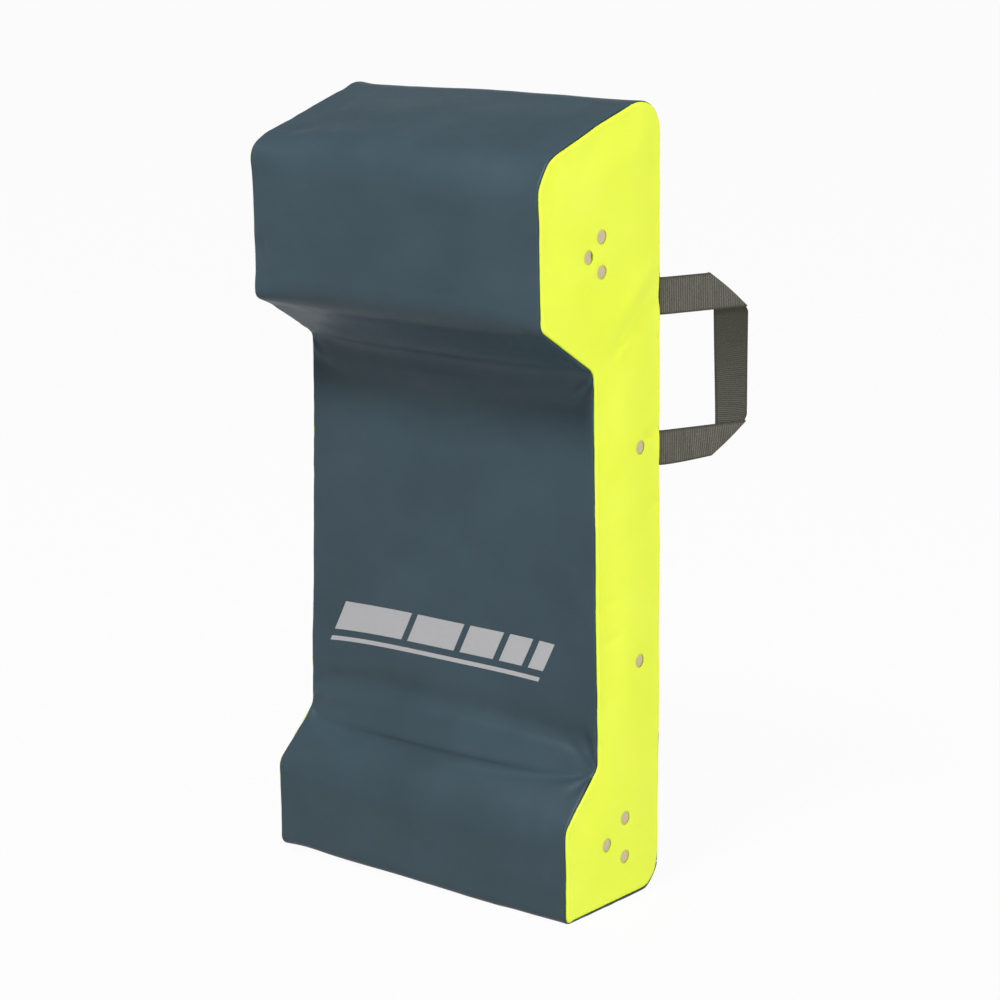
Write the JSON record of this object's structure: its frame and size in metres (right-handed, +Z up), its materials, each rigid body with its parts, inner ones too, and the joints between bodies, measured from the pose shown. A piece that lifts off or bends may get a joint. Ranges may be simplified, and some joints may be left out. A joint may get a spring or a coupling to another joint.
{
  "type": "tackle shield",
  "caption": "Upright foam tackle shield with a deep upper bolster, a shoulder recess, a lower bolster, vented sides, a back zip and webbing handles that swing.",
  "frame": {"origin": "middle of the standing face, under the middle of the lower bolster's depth", "axes": "+Z up, -Y towards the front that is hit, +Y towards the back with the zip and the handles, +X towards the side panel that the picture shows"},
  "size_m": [0.4618, 0.2984, 0.8238],
  "materials": {
    "slate_cover": "satin",
    "neon_cover": "satin",
    "foam": "matte",
    "webbing": "matte",
    "zip_tape": "matte",
    "zip_chain": "satin",
    "zip_metal": "satin"
  },
  "bodies": {
    "shield": {"front_cover": "slate_cover", "side_panel_left": "neon_cover", "side_panel_right": "neon_cover", "back_panel_left": "slate_cover", "back_panel_right": "slate_cover", "foam_back_board": "foam", "foam_body_slab": "foam", "foam_upper_bolster": "foam", "foam_lower_bolster": "foam", "handle_tail_upper_left": "webbing", "handle_tail_upper_right": "webbing", "handle_tail_lower_left": "webbing", "handle_tail_lower_right": "webbing", "zip_tape_left": "zip_tape", "zip_tape_right": "zip_tape", "zip_chain": "zip_chain", "zip_upper_stop": "zip_metal", "zip_lower_stop": "zip_metal"},
    "handle_left": {"handle_strap_left": "webbing"},
    "handle_right": {"handle_strap_right": "webbing"},
    "zip_slider": {"zip_slider": "zip_metal"},
    "zip_pull": {"zip_pull_tab": "zip_metal"}
  },
  "joints": [
    {"name": "handle_right_swing", "type": "hinge", "parent": "shield", "child": "handle_right", "pos_m": [0.1886, 0.0835, 0.5465], "axis": [0, 0, 1], "range_deg": [-130, 90]},
    {"name": "handle_left_swing", "type": "hinge", "parent": "shield", "child": "handle_left", "pos_m": [-0.1886, 0.0835, 0.5465], "axis": [0, 0, -1], "range_deg": [-130, 90]},
    {"name": "zip_slider_slide", "type": "slide", "parent": "shield", "child": "zip_slider", "axis": [0, 0, 1], "range_m": [0, 0.6]},
    {"name": "zip_pull_swing", "type": "hinge", "parent": "zip_slider", "child": "zip_pull", "pos_m": [0, 0.08363, 0.1026], "axis": [1, 0, 0], "range_deg": [0, 175]}
  ]
}
